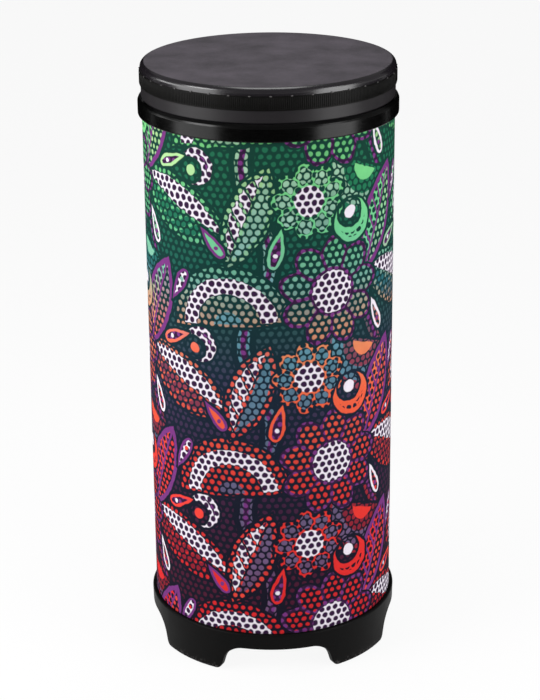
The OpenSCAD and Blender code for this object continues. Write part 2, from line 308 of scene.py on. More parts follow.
def round_repeat():
    """Sets copies of a mesh round the z axis, each turned to face outwards."""
    tree = bpy.data.node_groups.new("round_repeat", "GeometryNodeTree")
    sockets = {"Geometry": "Geometry", "Count": "Int", "Radius": "Float", "Height": "Float",
               "Start": "Float", "Finish": "Material"}
    for label, kind in sockets.items():
        tree.interface.new_socket(label, in_out="INPUT", socket_type="NodeSocket" + kind)
    tree.interface.new_socket("Geometry", in_out="OUTPUT", socket_type="NodeSocketGeometry")
    new, link = tree.nodes.new, tree.links.new
    given, out = new("NodeGroupInput"), new("NodeGroupOutput")
    circle = new("GeometryNodeMeshCircle")
    link(given.outputs["Count"], circle.inputs["Vertices"])
    link(given.outputs["Radius"], circle.inputs["Radius"])
    place = new("GeometryNodeTransform")
    link(circle.outputs["Mesh"], place.inputs["Geometry"])
    lift, spin = new("ShaderNodeCombineXYZ"), new("ShaderNodeCombineXYZ")
    link(given.outputs["Height"], lift.inputs["Z"])
    link(given.outputs["Start"], spin.inputs["Z"])
    link(lift.outputs[0], place.inputs["Translation"])
    link(spin.outputs[0], place.inputs["Rotation"])
    index, step, turn = new("GeometryNodeInputIndex"), new("ShaderNodeMath"), new("ShaderNodeMath")
    step.operation, step.inputs[0].default_value = "DIVIDE", math.tau
    link(given.outputs["Count"], step.inputs[1])
    turn.operation = "MULTIPLY_ADD"
    link(index.outputs[0], turn.inputs[0])
    link(step.outputs[0], turn.inputs[1])
    link(given.outputs["Start"], turn.inputs[2])
    euler, facing = new("ShaderNodeCombineXYZ"), new("FunctionNodeEulerToRotation")
    link(turn.outputs[0], euler.inputs["Z"])
    link(euler.outputs[0], facing.inputs[0])
    copies = new("GeometryNodeInstanceOnPoints")
    link(place.outputs["Geometry"], copies.inputs["Points"])
    link(given.outputs["Geometry"], copies.inputs["Instance"])
    link(facing.outputs[0], copies.inputs["Rotation"])
    real, coat = new("GeometryNodeRealizeInstances"), new("GeometryNodeSetMaterial")
    link(copies.outputs["Instances"], real.inputs["Geometry"])
    link(real.outputs["Geometry"], coat.inputs["Geometry"])
    link(given.outputs["Finish"], coat.inputs["Material"])
    link(coat.outputs["Geometry"], out.inputs["Geometry"])
    return tree


ROUND_REPEAT = round_repeat()


def repeated(name, mesh, count, radius, height, finish, body, slot, *nodes, start=0.0):
    """A piece of many copies of one mesh round the axis."""
    seed = bpy.data.objects.new(name + "_seed", mesh)
    bpy.context.scene.collection.objects.link(seed)
    change = seed.modifiers.new("repeat", "NODES")
    change.node_group = ROUND_REPEAT
    values = {"Count": count, "Radius": radius * MM, "Height": height * MM,
              "Start": start, "Finish": finish}
    for item in ROUND_REPEAT.interface.items_tree:
        if item.in_out == "INPUT" and item.name in values:
            change[item.identifier] = values[item.name]
    made = baked(seed, name)
    bpy.data.objects.remove(seed)
    return piece(name, made, finish, body, slot, *nodes)


# Nodes

class Net:
    """A shader node tree. Each call adds a node, feeds it, and gives back an output."""

    def __init__(self, tree):
        self.tree = tree

    def put(self, socket, value):
        if isinstance(value, bpy.types.NodeSocket):
            self.tree.links.new(value, socket)
        else:
            socket.default_value = value

    def node(self, kind, inputs=None, **settings):
        node = self.tree.nodes.new(kind)
        for key, value in settings.items():
            setattr(node, key, value)
        for key, value in (inputs or {}).items():
            self.put(node.inputs[key], value)
        return node

    def math(self, operation, *values, clamp=False):
        node = self.node("ShaderNodeMath", dict(enumerate(values)), operation=operation, use_clamp=clamp)
        return node.outputs[0]

    def vector(self, operation, *values):
        node = self.node("ShaderNodeVectorMath", dict(enumerate(values)), operation=operation)
        return node.outputs["Value" if operation in ("LENGTH", "DOT_PRODUCT") else "Vector"]

    def parts(self, vector):
        return self.node("ShaderNodeSeparateXYZ", {0: vector}).outputs

    def joined(self, x=0.0, y=0.0, z=0.0):
        return self.node("ShaderNodeCombineXYZ", {0: x, 1: y, 2: z}).outputs[0]

    def mix(self, factor, a, b):
        return self.node("ShaderNodeMix", {0: factor, 6: a, 7: b}, data_type="RGBA").outputs[2]

    def times(self, colour, value):
        node = self.node("ShaderNodeMix", {0: 1.0, 6: colour, 7: value}, data_type="RGBA",
                         blend_type="MULTIPLY")
        return node.outputs[2]

    def between(self, value, low, high, to_low=0.0, to_high=1.0):
        return self.node("ShaderNodeMapRange", {0: value, 1: low, 2: high, 3: to_low, 4: to_high},
                         interpolation_type="SMOOTHSTEP").outputs[0]

    def inside(self, distance, soft=0.35):
        """1 where a signed distance in millimetres is below zero, with a soft edge."""
        return self.math("MULTIPLY_ADD", distance, -0.5 / soft, 0.5, clamp=True)

    def ramp(self, factor, *stops):
        node = self.node("ShaderNodeValToRGB", {0: factor})
        elements = node.color_ramp.elements
        for i, (position, colour) in enumerate(stops):
            element = elements[i] if i < 2 else elements.new(position)
            element.position, element.color = position, colour
        return node.outputs[0]

    def use(self, group, **inputs):
        node = self.tree.nodes.new("ShaderNodeGroup")
        node.node_tree = group
        for key, value in inputs.items():
            self.put(node.inputs[key.replace("_", " ")], value)
        return node.outputs

    def coords(self):
        return self.node("ShaderNodeTexCoord").outputs["Object"]

    def noise(self, vector, scale, detail=2.0, roughness=0.5):
        return self.node("ShaderNodeTexNoise", {"Vector": vector, "Scale": scale, "Detail": detail,
                                                "Roughness": roughness}).outputs


def group(name, inputs, outputs):
    """A new shader node group: its net, its inputs and its outputs."""
    tree = bpy.data.node_groups.new(name, "ShaderNodeTree")
    kinds = {"v": "NodeSocketVector", "f": "NodeSocketFloat", "c": "NodeSocketColor"}
    for label, kind, value in inputs:
        socket = tree.interface.new_socket(label, in_out="INPUT", socket_type=kinds[kind])
        if value is not None:
            socket.default_value = value
    for label, kind in outputs:
        tree.interface.new_socket(label, in_out="OUTPUT", socket_type=kinds[kind])
    net = Net(tree)
    return net, tree.nodes.new("NodeGroupInput").outputs, tree.nodes.new("NodeGroupOutput").inputs


def mottle_group():
    """Soft patches, from 0 to 1."""
    net, given, out = group("mottle", [("Scale", "f", 30.0), ("Spread", "f", 1.5)], [("Amount", "f")])
    patch = net.noise(net.coords(), given["Scale"], 4.0, 0.6)[0]
    away = net.math("SUBTRACT", patch, 0.5)
    net.put(out["Amount"], net.math("MULTIPLY_ADD", away, given["Spread"], 0.5, clamp=True))
    return net.tree


def grain_group():
    """The height of a fine moulded grain, in two sizes."""
    net, given, out = group("grain", [("Scale", "f", 900.0)], [("Height", "f")])
    place = net.coords()
    coarse = net.noise(place, given["Scale"], 1.0)[0]
    fine = net.noise(place, net.math("MULTIPLY", given["Scale"], 2.7), 1.0)[0]
    net.put(out["Height"], net.math("MULTIPLY_ADD", fine, 0.5, coarse))
    return net.tree


MOTTLE = mottle_group()
GRAIN = grain_group()
GRAIN_DEPTH = 0.2 * MM


def material(name):
    """A new material: its net and its Principled shader."""
    mat = bpy.data.materials.new(name)
    mat.use_nodes = True
    return mat, Net(mat.node_tree), mat.node_tree.nodes["Principled BSDF"].inputs


def bump(net, shader, height, strength, distance):
    """Feeds a height to the shader as a bump."""
    node = net.node("ShaderNodeBump", {"Height": height, "Strength": strength, "Distance": distance})
    net.put(shader["Normal"], node.outputs[0])


def moulded(name, dark, light, gloss, dull, grain=900.0, lift=0.25, specular=0.4, patch=28.0):
    """A moulded or coated surface: two close tones and two roughnesses in soft patches, over a
    fine grain. Grain and patch are scales per metre, and lift is the strength of the grain."""
    mat, net, shader = material(name)
    amount = net.use(MOTTLE, Scale=patch, Spread=1.6)["Amount"]
    net.put(shader["Base Color"], net.mix(amount, dark, light))
    net.put(shader["Roughness"], net.between(amount, 0.0, 1.0, gloss, dull))
    shader["Specular IOR Level"].default_value = specular
    bump(net, shader, net.use(GRAIN, Scale=grain)["Height"], lift, GRAIN_DEPTH)
    return mat


def skin_material():
    """Suede-coated film: matt and softly smudged on the flat, smoother over the shoulder."""
    mat, net, shader = material("skin_film")
    place = net.coords()
    smudge = net.use(MOTTLE, Scale=26.0, Spread=2.2)["Amount"]
    speck = net.noise(place, 1500.0, 2.0)[0]
    tone = net.mix(smudge, srgb(35, 30, 37), srgb(80, 73, 82))
    tone = net.mix(net.between(speck, 0.35, 0.7, 0.0, 0.3), tone, srgb(100, 94, 102))
    height = net.parts(place)[2]
    edge = net.between(height, (SKIN_TOP - 0.45) * MM, (SKIN_TOP - 0.02) * MM)
    net.put(shader["Base Color"], net.mix(edge, srgb(22, 19, 23), tone))
    net.put(shader["Roughness"], net.between(edge, 0.0, 1.0, 0.24, 0.75))
    shader["Specular IOR Level"].default_value = 0.6
    nap = net.between(edge, 0.0, 1.0, 0.04, 0.35)
    bump(net, shader, net.use(GRAIN, Scale=1300.0)["Height"], nap, GRAIN_DEPTH)
    return mat


def foot_material():
    """Satin moulded plastic, scuffed and dusty towards the floor."""
    mat, net, shader = material("foot_plastic")
    amount = net.use(MOTTLE, Scale=34.0, Spread=1.6)["Amount"]
    scuff = net.use(MOTTLE, Scale=420.0, Spread=3.0)["Amount"]
    low = net.between(net.parts(net.coords())[2], 0.0, 9 * MM, 1.0, 0.0)
    worn = net.math("MULTIPLY", net.between(scuff, 0.55, 0.95), low)
    tone = net.mix(amount, srgb(8, 8, 8), srgb(13, 12, 12))
    net.put(shader["Base Color"], net.mix(worn, tone, srgb(70, 68, 68)))
    satin = net.between(amount, 0.0, 1.0, 0.42, 0.54)
    net.put(shader["Roughness"], net.math("MULTIPLY_ADD", worn, 0.2, satin))
    shader["Specular IOR Level"].default_value = 0.05
    bump(net, shader, net.use(GRAIN, Scale=1000.0)["Height"], 0.22, GRAIN_DEPTH)
    return mat


def collar_material():
    """Gloss black plastic with faint rubbed streaks along the turn."""
    mat, net, shader = material("collar_plastic")
    x, y, z = net.parts(net.coords())
    round_way = net.joined(net.math("ARCTAN2", x, y), net.math("MULTIPLY", z, 60.0), 0.0)
    streak = net.noise(round_way, 14.0, 5.0, 0.65)[0]
    patch = net.use(MOTTLE, Scale=40.0, Spread=1.4)["Amount"]
    net.put(shader["Base Color"], net.mix(patch, srgb(2, 2, 2), srgb(4, 4, 4)))
    net.put(shader["Roughness"], net.between(streak, 0.3, 0.75, 0.19, 0.28))
    shader["Specular IOR Level"].default_value = 0.16
    bump(net, shader, net.use(GRAIN, Scale=700.0)["Height"], 0.03, GRAIN_DEPTH)
    return mat


def fibre_material(name, dark, light):
    """Pressed wood fibre: short pale and dark strands in a dull board."""
    mat, net, shader = material(name)
    place = net.coords()
    strand = net.noise(net.vector("MULTIPLY", place, (1.0, 1.0, 0.22)), 900.0, 5.0, 0.7)[0]
    patch = net.use(MOTTLE, Scale=24.0, Spread=1.5)["Amount"]
    tone = net.mix(net.between(strand, 0.3, 0.72), dark, light)
    net.put(shader["Base Color"], net.mix(net.math("MULTIPLY", patch, 0.35), tone, dark))
    net.put(shader["Roughness"], net.between(patch, 0.0, 1.0, 0.78, 0.92))
    shader["Specular IOR Level"].default_value = 0.25
    bump(net, shader, strand, 0.35, 0.3 * MM)
    return mat


# The printed covering, drawn on the unrolled cylinder in millimetres: along the turn, and up

DOT_PITCH, SMALL_DOT, BIG_DOT = 6.9, 2.1, 2.62
# The repeat: three tiles round the drum, each column half a tile higher than the last
TILE_W, TILE_H, TILE_DROP = math.tau * SHELL_R / 3, 158.0, 79.0
# Width of the dark surround of a motif
OUTLINE = 2.6


def unroll_group():
    """Where a point lies on the unrolled covering, with a slight waver like a hand-cut screen."""
    net, _, out = group("unroll", [], [("Place", "v"), ("Rise", "f")])
    place = net.coords()
    x, y, z = net.parts(place)
    along = net.math("MULTIPLY", net.math("ARCTAN2", x, net.math("MULTIPLY", y, -1.0)), SHELL_R)
    up = net.math("MULTIPLY", z, 1000.0)
    waver = net.vector("SUBTRACT", net.noise(place, 95.0, 2.0)[1], (0.5, 0.5, 0.5))
    flat = net.vector("ADD", net.joined(along, up), net.vector("MULTIPLY", waver, (3.4, 3.4, 0.0)))
    net.put(out["Place"], flat)
    net.put(out["Rise"], net.between(up, TUBE_Z, TUBE_TOP))
    return net.tree


def dots_group():
    """Round dots in staggered rows, each with a chance tone from 0 to 1."""
    net, given, out = group("dots", [("Place", "v", None), ("Radius", "f", 2.2)],
                            [("Dot", "f"), ("Tone", "f")])
    row = DOT_PITCH * math.sqrt(3)
    high = (DOT_PITCH / 2, row / 2, 1.0)
    low = (-DOT_PITCH / 2, -row / 2, -1.0)
    here = net.vector("WRAP", given["Place"], high, low)
    moved = net.vector("MULTIPLY", net.vector("ADD", given["Place"], high), (1.0, 1.0, 0.0))
    there = net.vector("WRAP", moved, high, low)
    near, other = net.vector("LENGTH", here), net.vector("LENGTH", there)
    distance = net.math("SUBTRACT", net.math("MINIMUM", near, other), given["Radius"])
    net.put(out["Dot"], net.inside(distance, 0.4))
    first = net.math("LESS_THAN", near, other)
    offset = net.node("ShaderNodeMix", {0: first, 4: there, 5: here}, data_type="VECTOR").outputs[1]
    step = net.vector("DIVIDE", net.vector("SUBTRACT", given["Place"], offset), high)
    centre = net.vector("FLOOR", net.vector("ADD", step, (0.5, 0.5, 0.0)))
    chance = net.node("ShaderNodeTexWhiteNoise", {"Vector": centre}, noise_dimensions="2D")
    net.put(out["Tone"], chance.outputs["Value"])
    return net.tree


def tile_group():
    """A place as seen from the nearest copy of a motif, in a half-drop repeat."""
    net, given, out = group("tile", [("Place", "v", None), ("Centre", "v", None), ("Turn", "f", 0.0)],
                            [("Local", "v")])
    x, y, _ = net.parts(net.vector("SUBTRACT", given["Place"], given["Centre"]))
    column = net.math("ROUND", net.math("DIVIDE", x, TILE_W))
    across = net.math("MULTIPLY_ADD", column, -TILE_W, x)
    up = net.math("WRAP", net.math("MULTIPLY_ADD", column, -TILE_DROP, y), TILE_H / 2, -TILE_H / 2)
    swung = net.node("ShaderNodeVectorRotate", {"Vector": net.joined(across, up), "Angle": given["Turn"]},
                     rotation_type="Z_AXIS")
    net.put(out["Local"], swung.outputs[0])
    return net.tree


MOTIF_INPUTS = [("Local", "v", None), ("Size", "f", 40.0), ("Slim", "f", 0.4)]
MOTIF_OUTPUTS = [("Edge", "f"), ("Outer", "f"), ("Inner", "f"), ("Core", "f")]


def motif_masks(net, out, distance, inner, core):
    """The four masks of a motif: its dark surround, its whole shape, and two fields in it."""
    net.put(out["Edge"], net.inside(net.math("SUBTRACT", distance, OUTLINE)))
    net.put(out["Outer"], net.inside(distance))
    net.put(out["Inner"], inner)
    net.put(out["Core"], core)


def leaf_group():
    """A pointed leaf with a midrib: one half plain, the other crossed by veins."""
    net, given, out = group("leaf", MOTIF_INPUTS, MOTIF_OUTPUTS)
    x, y, _ = net.parts(given["Local"])
    wide = net.math("MULTIPLY", given["Size"], given["Slim"])
    squares = net.math("MULTIPLY_ADD", given["Size"], given["Size"], net.math("MULTIPLY", wide, wide))
    bow = net.math("DIVIDE", squares, net.math("MULTIPLY", wide, 2.0))
    away = net.math("ADD", net.math("ABSOLUTE", x), net.math("SUBTRACT", bow, wide))
    distance = net.math("SUBTRACT", net.vector("LENGTH", net.joined(away, y)), bow)
    body = net.math("ADD", distance, 4.6)
    right = net.math("MAXIMUM", body, net.math("SUBTRACT", 1.3, x))
    left = net.math("MAXIMUM", body, net.math("ADD", x, 1.3))
    vein = net.math("WRAP", net.math("MULTIPLY_ADD", x, 0.9, y), 6.5, -6.5)
    veined = net.math("MAXIMUM", left, net.math("SUBTRACT", 1.5, net.math("ABSOLUTE", vein)))
    motif_masks(net, out, distance, net.inside(right), net.inside(veined))
    return net.tree


def rosette_group():
    """A round flower of even petals, with a ring and an eye."""
    net, given, out = group("rosette", MOTIF_INPUTS, MOTIF_OUTPUTS)
    x, y, _ = net.parts(given["Local"])
    reach = net.vector("LENGTH", given["Local"])
    lobe = net.math("ABSOLUTE", net.math("COSINE", net.math("MULTIPLY", net.math("ARCTAN2", y, x), 4.5)))
    edge = net.math("MULTIPLY", given["Size"], net.math("MULTIPLY_ADD", lobe, 0.24, 0.76))
    distance = net.math("SUBTRACT", reach, edge)
    hub = net.math("MULTIPLY", given["Size"], given["Slim"])
    ring = net.math("SUBTRACT", net.math("ADD", hub, 3.0), reach)
    petal = net.math("MAXIMUM", net.math("ADD", distance, 4.0), ring)
    gap = net.math("SUBTRACT", 2.2, net.math("MULTIPLY", net.math("MULTIPLY", lobe, reach), 0.3))
    petal = net.math("MAXIMUM", petal, gap)
    motif_masks(net, out, distance, net.inside(petal), net.inside(net.math("SUBTRACT", reach, hub)))
    return net.tree


def fan_group():
    """A half-round fan of bands about a small eye."""
    net, given, out = group("fan", MOTIF_INPUTS, MOTIF_OUTPUTS)
    _, y, _ = net.parts(given["Local"])
    reach = net.vector("LENGTH", given["Local"])
    below = net.math("MULTIPLY", y, -1.0)
    distance = net.math("MAXIMUM", net.math("SUBTRACT", reach, given["Size"]), below)
    body = net.math("ADD", distance, 2.4)
    share = net.math("DIVIDE", reach, given["Size"])
    band = net.math("SUBTRACT", net.math("ABSOLUTE", net.math("SUBTRACT", share, 0.68)), 0.13)
    band = net.math("MAXIMUM", body, net.math("MULTIPLY", band, given["Size"]))
    middle = net.math("MULTIPLY", net.math("SUBTRACT", share, given["Slim"]), given["Size"])
    eye = net.math("MAXIMUM", body, middle)
    motif_masks(net, out, distance, net.inside(band), net.inside(eye))
    return net.tree


def crescent_group():
    """A crescent that holds a round seed."""
    net, given, out = group("crescent", MOTIF_INPUTS, MOTIF_OUTPUTS)
    seed_at = net.joined(net.math("MULTIPLY", given["Size"], 0.42), 0.0)
    seed = net.vector("LENGTH", net.vector("SUBTRACT", given["Local"], seed_at))
    hollow = net.math("SUBTRACT", net.math("MULTIPLY", given["Size"], 0.74), seed)
    disc = net.math("SUBTRACT", net.vector("LENGTH", given["Local"]), given["Size"])
    distance = net.math("MAXIMUM", disc, hollow)
    core = net.math("SUBTRACT", seed, net.math("MULTIPLY", given["Size"], given["Slim"]))
    motif_masks(net, out, distance, net.inside(net.math("ADD", distance, 4.2)), net.inside(core))
    return net.tree


def drop_group():
    """A seed that is round below and pointed above."""
    net, given, out = group("drop", MOTIF_INPUTS, MOTIF_OUTPUTS)
    x, y, _ = net.parts(given["Local"])
    rise = net.math("MULTIPLY_ADD", net.math("DIVIDE", y, given["Size"]), 0.5, 0.5, clamp=True)
    girth = net.math("MULTIPLY", net.math("SQRT", rise), net.math("SUBTRACT", 1.0, rise))
    wide = net.math("MULTIPLY", net.math("MULTIPLY", given["Size"], given["Slim"]), 2.6)
    across = net.math("SUBTRACT", net.math("ABSOLUTE", x), net.math("MULTIPLY", girth, wide))
    distance = net.math("MAXIMUM", across, net.math("SUBTRACT", net.math("ABSOLUTE", y), given["Size"]))
    low = net.joined(0.0, net.math("MULTIPLY", given["Size"], 0.36))
    core = net.math("SUBTRACT", net.vector("LENGTH", net.vector("ADD", given["Local"], low)), 2.0)
    motif_masks(net, out, distance, net.inside(net.math("ADD", distance, 2.6)), net.inside(core))
    return net.tree


def wave_group():
    """A slow upright wave with a dotted middle."""
    net, given, out = group("wave", MOTIF_INPUTS, MOTIF_OUTPUTS)
    x, y, _ = net.parts(given["Local"])
    sway = net.math("SINE", net.math("MULTIPLY", y, math.tau / TILE_H))
    away = net.math("ABSOLUTE", net.math("MULTIPLY_ADD", sway, given["Size"], x))
    wide = net.math("MULTIPLY", given["Size"], given["Slim"])
    distance = net.math("SUBTRACT", away, wide)
    core = net.math("SUBTRACT", away, net.math("MULTIPLY", wide, 0.3))
    motif_masks(net, out, distance, net.inside(net.math("ADD", distance, 3.0)), net.inside(core))
    return net.tree


# Inks of the print, each by its share of the height
INKS = {
    "Ground": [(0.0, srgb(23, 21, 34)), (0.3, srgb(22, 28, 42)), (0.55, srgb(23, 36, 50)),
               (0.8, srgb(16, 49, 47)), (1.0, srgb(20, 58, 48))],
    "Shade": [(0.0, srgb(70, 25, 44)), (0.3, srgb(53, 35, 62)), (0.55, srgb(55, 53, 77)),
              (0.8, srgb(29, 84, 75)), (1.0, srgb(33, 99, 72))],
    "Deep": [(0.0, srgb(147, 29, 40)), (0.28, srgb(145, 40, 48)), (0.58, srgb(141, 59, 75)),
             (0.76, srgb(44, 97, 112)), (0.88, srgb(30, 103, 81)), (1.0, srgb(34, 112, 73))],
    "Bright": [(0.0, srgb(202, 39, 41)), (0.25, srgb(209, 56, 47)), (0.48, srgb(215, 89, 60)),
               (0.66, srgb(204, 128, 89)), (0.8, srgb(116, 163, 149)), (0.9, srgb(101, 184, 132)),
               (1.0, srgb(109, 189, 118))],
    "Warm": [(0.0, srgb(222, 72, 56)), (0.3, srgb(214, 52, 52)), (0.62, srgb(220, 99, 72)),
             (0.78, srgb(154, 138, 144)), (0.9, srgb(136, 196, 150)), (1.0, srgb(165, 204, 142))],
    "Cool": [(0.0, srgb(113, 83, 122)), (0.3, srgb(96, 100, 129)), (0.6, srgb(87, 135, 153)),
             (0.8, srgb(105, 153, 166)), (1.0, srgb(164, 203, 170))],
}
PLUM, NIGHT, PALE = srgb(108, 50, 114), srgb(48, 27, 56), srgb(217, 210, 220)


def inks_group():
    """The print's colours by height: reds below, then warm and turquoise, then greens."""
    net, given, out = group("inks", [("Rise", "f", 0.5)], [(label, "c") for label in INKS])
    for label, stops in INKS.items():
        net.put(out[label], net.ramp(given["Rise"], *stops))
    return net.tree


# Motif, centre on the tile, turn in degrees, size, slimness, and the fills of its three fields
PRINT = [
    ("wave", (100, 0), 0, 13, 0.75, ("ground", "deep_dots", "plum_dots")),
    ("wave", (215, 40), 0, 12, 0.7, ("ground", "cool_dots", "plum_dots")),
    ("fan", (190, 96), 6, 54, 0.25, ("bright_dots", "pale_dots", "cool_dots")),
    ("fan", (88, 152), 160, 46, 0.3, ("deep_dots", "cool_dots", "bright")),
    ("leaf", (140, 38), 66, 58, 0.42, ("bright_dots", "pale_dots", "deep_dots")),
    ("leaf", (106, 102), -24, 50, 0.42, ("plum", "warm_dots", "dark_dots")),
    ("leaf", (208, 36), -22, 48, 0.4, ("warm_dots", "cool_dots", "pale_dots")),
    ("rosette", (52, 46), 8, 50, 0.38, ("plum_dots", "bright_dots", "pale_dots")),
    ("rosette", (30, 128), 20, 33, 0.4, ("dark_dots", "cool_dots", "pale_dots")),
    ("crescent", (72, 106), 110, 19, 0.3, ("bright", "dark_dots", "pale")),
    ("crescent", (162, 76), 215, 16, 0.3, ("pale_dots", "plum_dots", "warm")),
    ("drop", (104, 14), 24, 17, 0.34, ("pale", "warm_dots", "plum")),
    ("drop", (134, 78), -70, 17, 0.34, ("warm", "plum_dots", "pale")),
    ("drop", (140, 126), 150, 18, 0.34, ("plum", "pale_dots", "bright")),
    ("drop", (2, 88), -12, 18, 0.36, ("bright", "plum_dots", "pale")),
    ("drop", (176, 12), 40, 16, 0.36, ("plum", "bright", "plum")),
]


def print_material():
    """The printed covering: dotted motifs in bright inks on a dark cloth ground."""
    kinds = {"leaf": leaf_group(), "rosette": rosette_group(), "fan": fan_group(),
             "crescent": crescent_group(), "drop": drop_group(), "wave": wave_group()}
    tile, dots = tile_group(), dots_group()
    mat, net, shader = material("wrap_print")
    where = net.use(unroll_group())
    place = where["Place"]
    ink = net.use(inks_group(), Rise=where["Rise"])
    rows = net.use(dots, Place=place, Radius=BIG_DOT)
    big, small = rows["Dot"], net.use(dots, Place=place, Radius=SMALL_DOT)["Dot"]
    patch = net.use(MOTTLE, Scale=38.0, Spread=2.4)["Amount"]
    tone = net.math("MULTIPLY_ADD", rows["Tone"], 0.25, net.math("MULTIPLY", patch, 0.3))
    fills = {
        "ground": ink["Ground"],
        "bright": ink["Bright"],
        "warm": ink["Warm"],
        "plum": PLUM,
        "pale": PALE,
        "bright_dots": net.mix(small, ink["Ground"], net.mix(tone, ink["Bright"], ink["Deep"])),
        "deep_dots": net.mix(big, ink["Ground"], net.mix(tone, ink["Deep"], ink["Shade"])),
        "warm_dots": net.mix(small, ink["Ground"], net.mix(tone, ink["Warm"], ink["Deep"])),
        "cool_dots": net.mix(big, ink["Ground"], net.mix(tone, ink["Cool"], ink["Shade"])),
        "dark_dots": net.mix(big, ink["Bright"], ink["Ground"]),
        "pale_dots": net.mix(big, PALE, NIGHT),
        "plum_dots": net.mix(small, NIGHT, PLUM),
    }
    colour = net.mix(small, ink["Ground"], ink["Shade"])
    for kind, centre, turn, size, slim, wanted in PRINT:
        local = net.use(tile, Place=place, Centre=(*centre, 0.0), Turn=math.radians(-turn))["Local"]
        mask = net.use(kinds[kind], Local=local, Size=float(size), Slim=slim)
        colour = net.mix(mask["Edge"], colour, ink["Ground"])
        for field, fill in zip(("Outer", "Inner", "Core"), wanted):
            colour = net.mix(mask[field], colour, fills[fill])
    fade = net.use(MOTTLE, Scale=120.0, Spread=1.2)["Amount"]
    net.put(shader["Base Color"], net.times(colour, net.between(fade, 0.0, 1.0, 1.0, 0.9)))
    threads = net.vector("SINE", net.vector("MULTIPLY", place, (9.0, 9.0, 0.0)))
    x, y, _ = net.parts(threads)
    net.put(shader["Roughness"], net.between(fade, 0.0, 1.0, 0.72, 0.86))
    shader["Specular IOR Level"].default_value = 0.03
    bump(net, shader, net.math("MULTIPLY", x, y), 0.12, 0.08 * MM)
    return mat


# Finishes

SKIN = skin_material()
FOOT = foot_material()
COLLAR = collar_material()
PRINTED = print_material()
RING = moulded("ring_plastic", srgb(28, 26, 28), srgb(35, 33, 35), 0.34, 0.44,
               grain=1100.0, lift=0.15, specular=0.19)
HOOP = moulded("hoop_metal", srgb(4, 4, 3), srgb(9, 8, 7), 0.34, 0.5,
               grain=1500.0, lift=0.12, specular=0.09, patch=60.0)
# The nubs' grey, paler than the hoop, is a painted glint so that they show as bright specks; their glossy
# coat adds real highlights too
NUB_GLINT = moulded("hoop_nub_glint", srgb(50, 48, 48), srgb(84, 81, 82), 0.22, 0.36,
              grain=1500.0, lift=0.1, specular=0.5, patch=200.0)
FIBRE = fibre_material("shell_fibre", srgb(92, 70, 50), srgb(156, 128, 96))
BOARD = fibre_material("fibre_board", srgb(80, 58, 40), srgb(138, 108, 78))
PORT = moulded("port_plastic", srgb(20, 20, 21), srgb(30, 29, 30), 0.42, 0.55, grain=800.0, lift=0.2)
FOAM = moulded("gasket_foam", srgb(26, 26, 27), srgb(44, 43, 44), 0.85, 0.95,
               grain=1800.0, lift=0.9, specular=0.2)
RUBBER = moulded("pad_rubber", srgb(30, 30, 30), srgb(46, 45, 44), 0.7, 0.88,
                 grain=1500.0, lift=0.4, specular=0.3)
STEEL = moulded("screw_steel", srgb(32, 32, 34), srgb(60, 60, 62), 0.3, 0.5,
                grain=1800.0, lift=0.15, specular=0.5, patch=200.0)
BEAD = moulded("bead_resin", srgb(150, 136, 104), srgb(176, 162, 126), 0.3, 0.45, lift=0.1)

# Pieces of the shell

piece("foot_shoe", foot_mesh(), FOOT, "shell", "foot_plastic", "foot_ring")

PAD_IN, PAD_OUT, GROOVE, GROOVE_T = PAD_R - PAD_W / 2, PAD_R + PAD_W / 2, 0.5, 0.4
PAD_OUTLINE = soften([(PAD_IN, FOOT_Z, 0), (PAD_IN, 0, 0.3),
                      (PAD_R - GROOVE, 0, 0.2), (PAD_R - GROOVE, GROOVE_T, 0.1),
                      (PAD_R + GROOVE, GROOVE_T, 0.1), (PAD_R + GROOVE, 0, 0.2),
                      (PAD_OUT, 0, 0.3), (PAD_OUT, FOOT_Z, 0)])
pads = bmesh.new()
for middle in (-45, 45, 135, 225):
    turned(pads, PAD_OUTLINE, 28, (middle - PAD_HALF, middle + PAD_HALF))
piece("foot_soles", mesh_from(pads, "foot_soles"), RUBBER, "shell", "pad_rubber", "foot_pads")

ring_piece("port_board",
           [(PORT_R + GLUE, TUBE_Z, 0.2), (PLATE_R, TUBE_Z, 0.3),
            (PLATE_R, PLATE_TOP, 0.3), (PORT_R + GLUE, PLATE_TOP, 0.2)],
           BOARD, "shell", "fibre_board", "port_plate")
ring_piece("port_pipe",
           [(PORT_BORE_R, TUBE_Z, 1.2), (PORT_R, TUBE_Z, 0.4),
            (PORT_R, PORT_TOP, 1.0), (PORT_BORE_R, PORT_TOP, 1.0)],
           PORT, "shell", "port_plastic", "port_tube")
ring_piece("port_collar",
           [(PORT_R + GLUE, FLANGE_Z, 0.2), (FLANGE_R, FLANGE_Z, 0.3),
            (FLANGE_R, FLANGE_TOP, 1.8), (PORT_R + GLUE, FLANGE_TOP, 0.6)],
           PORT, "shell", "port_plastic", "port_flange")
repeated("port_screws", screw_mesh(), SCREWS, SCREW_R, WEB_Z,
         STEEL, "shell", "screw_steel", "plate_screws", start=math.pi / SCREWS)
ring_piece("shell_barrel",
           [(BORE_R, TUBE_Z, 0.4), (TUBE_R, TUBE_Z, 0.3),
            (TUBE_R, TUBE_TOP, 0.3), (BORE_R, TUBE_TOP, 0.6)],
           FIBRE, "shell", "shell_fibre", "shell_tube")

WRAP_TOP = TUBE_TOP - GLUE
SEAM = math.degrees(WRAP_JOINT / 2 / SHELL_R)
cover = ring_piece("shell_cover",
                   [(WRAP_IN_R, TUBE_Z, 0.1), (SHELL_R, TUBE_Z, 0.15),
                    (SHELL_R, WRAP_TOP, 0.15), (WRAP_IN_R, WRAP_TOP, 0.1)],
                   PRINTED, "shell", "wrap_print", "shell_wrap",
                   segments=256, span=(90 + SEAM, 450 - SEAM))

